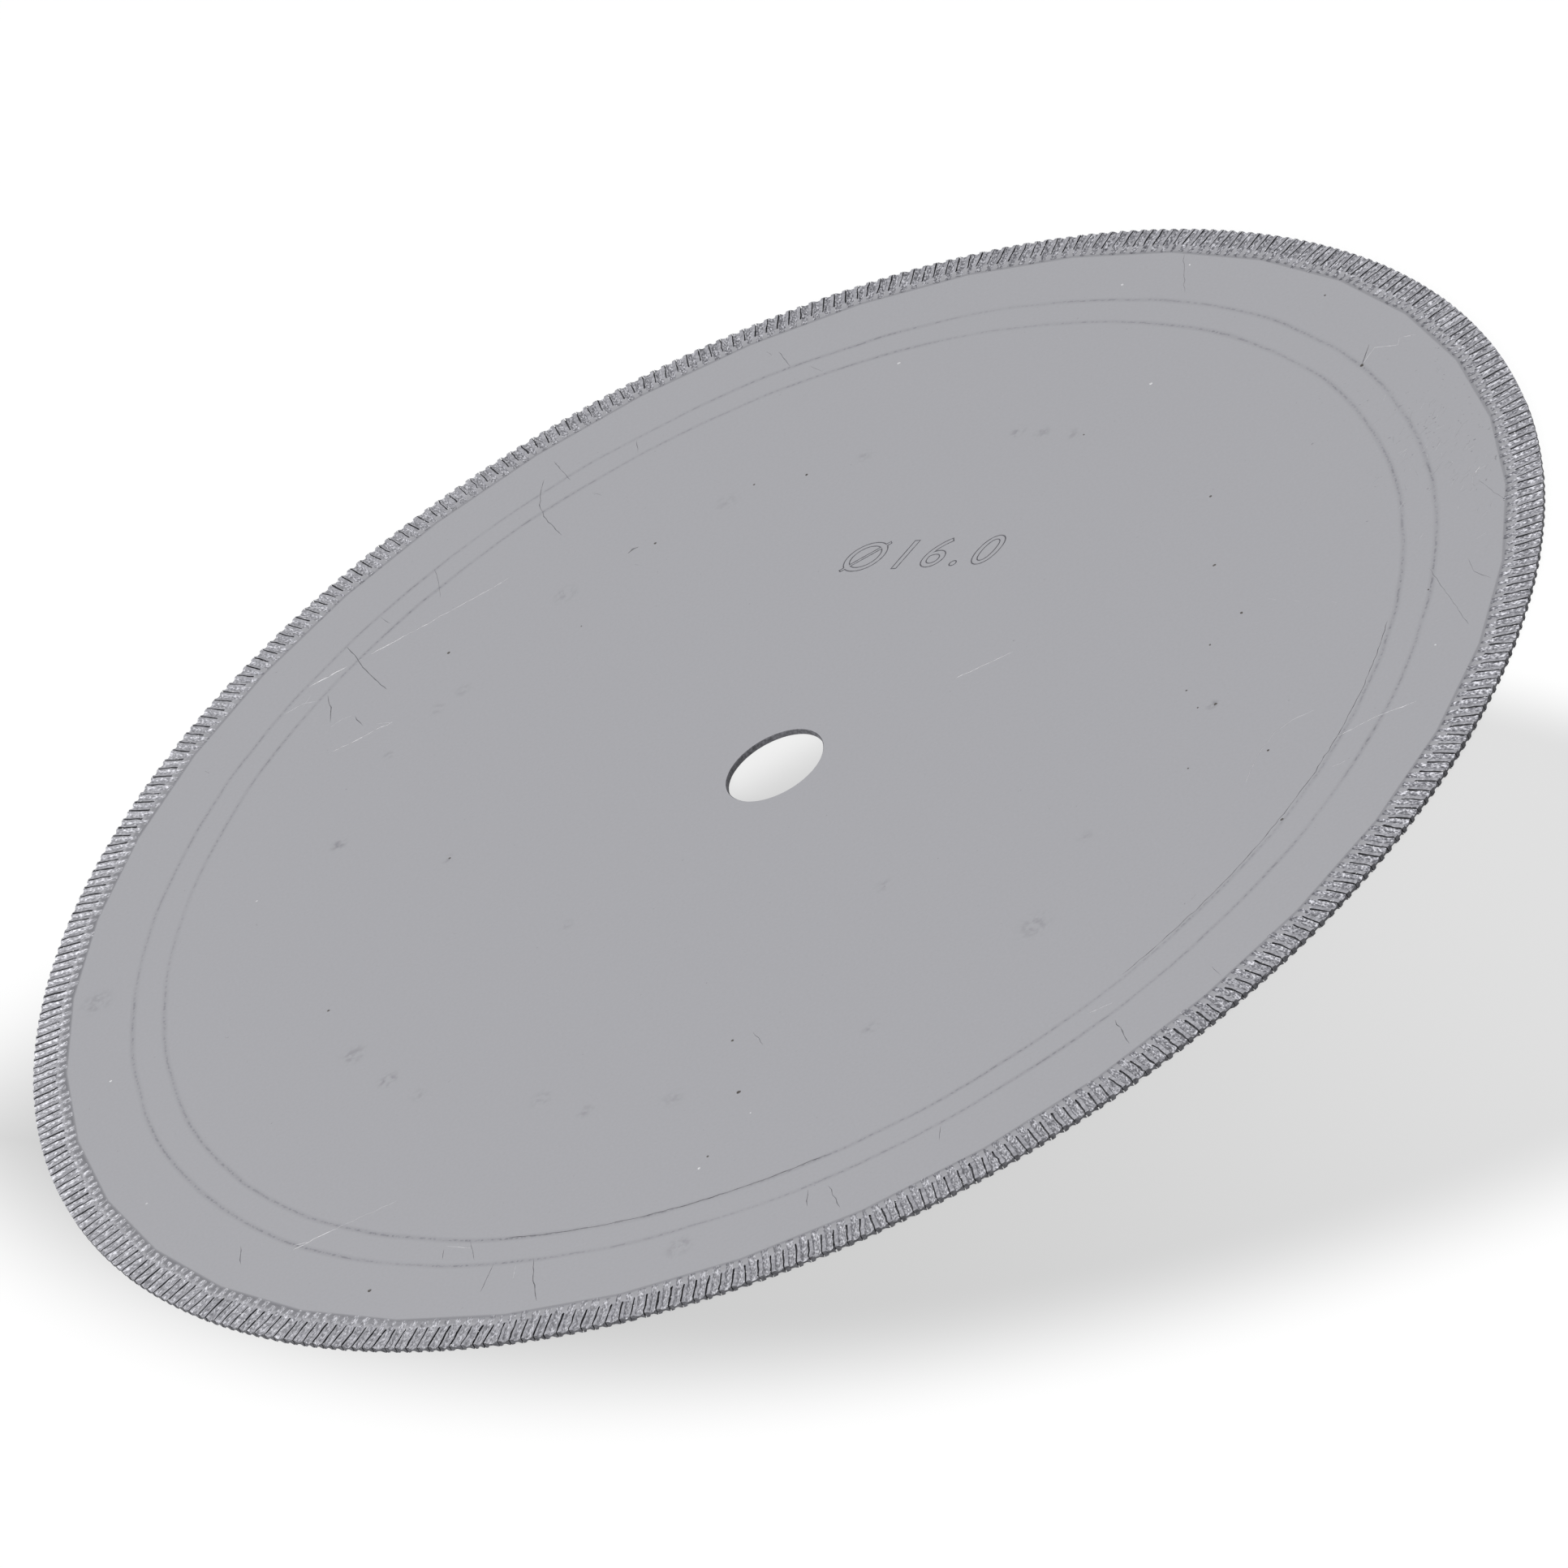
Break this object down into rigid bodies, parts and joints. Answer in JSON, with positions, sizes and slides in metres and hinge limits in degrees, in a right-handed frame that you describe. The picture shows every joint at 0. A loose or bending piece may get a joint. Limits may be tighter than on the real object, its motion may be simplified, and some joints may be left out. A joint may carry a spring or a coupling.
{
  "type": "lapidary saw blade",
  "caption": "Thin round steel saw blade with a plain centre bore; the rim is slit all round and pressed in between the slits.",
  "frame": {"origin": "centre of the bore, in the plane of the lower face, with the blade lying flat", "axes": "+Z along the bore axis, out of the upper face; the rim is the same all round"},
  "size_m": [0.25, 0.25, 0.001],
  "materials": {
    "steel": "matt grey sheet steel"
  },
  "bodies": {
    "root": {"blade": "steel"}
  },
  "joints": []
}
